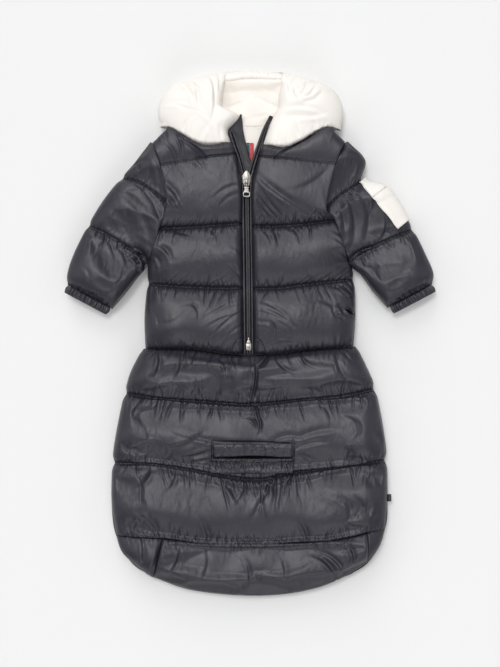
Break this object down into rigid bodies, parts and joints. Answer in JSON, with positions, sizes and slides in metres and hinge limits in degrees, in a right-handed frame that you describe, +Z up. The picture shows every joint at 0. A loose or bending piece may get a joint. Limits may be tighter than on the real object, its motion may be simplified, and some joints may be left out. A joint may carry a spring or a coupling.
{
  "type": "down bunting bag",
  "caption": "Baby's quilted down bunting bag lying flat: a hooded zip jacket joined to a closed foot bag with a harness slot.",
  "frame": {"origin": "centre of the bounding box on the floor plane under the garment's flat back", "axes": "+Z up from the floor through the front, +Y from the foot of the bag to the hood, +X to the right of the picture"},
  "size_m": [0.5182, 0.7328, 0.0543],
  "materials": {
    "shell": "shiny woven nylon",
    "shell_dark": "plain woven nylon",
    "cream_shell": "soft woven nylon",
    "cream_lining": "matte lining",
    "zip_cloth": "coated zip tape",
    "metal": "polished nickel",
    "label": "woven label",
    "loop": "woven ribbon"
  },
  "bodies": {
    "garment": {"jacket_front_left": "shell", "jacket_front_right": "shell", "jacket_back": "shell", "sleeve_left_front": "shell", "sleeve_left_back": "shell", "sleeve_right_front": "shell", "sleeve_right_back": "shell", "cuff_left": "shell", "cuff_right": "shell", "bag_front": "shell", "bag_back": "shell", "bag_bottom": "shell", "bag_gusset_left": "shell", "bag_gusset_right": "shell", "slot_welt": "shell", "slot_binding": "shell", "slot_elastic": "shell", "side_pocket_welt": "shell", "zip_guard": "shell_dark", "patch_left": "shell_dark", "patch_right": "shell_dark", "side_tab": "shell_dark", "hood_left": "cream_shell", "hood_right": "cream_shell", "hood_centre": "cream_shell", "hood_back": "cream_shell", "sleeve_pocket": "cream_shell", "sleeve_pocket_flap": "cream_shell", "hood_lining": "cream_lining", "neck_facing": "cream_lining", "zip_tape_left": "zip_cloth", "zip_tape_right": "zip_cloth", "slider": "metal", "zip_box": "metal", "neck_label": "label", "hanging_loop": "loop"},
    "pull_tab": {"zip_pull": "metal"}
  },
  "joints": [
    {"name": "pull_tab_swing", "type": "hinge", "parent": "garment", "child": "pull_tab", "pos_m": [-0.0062, 0.207, 0.0365], "axis": [-1, 0, 0], "range_deg": [0, 150]}
  ]
}
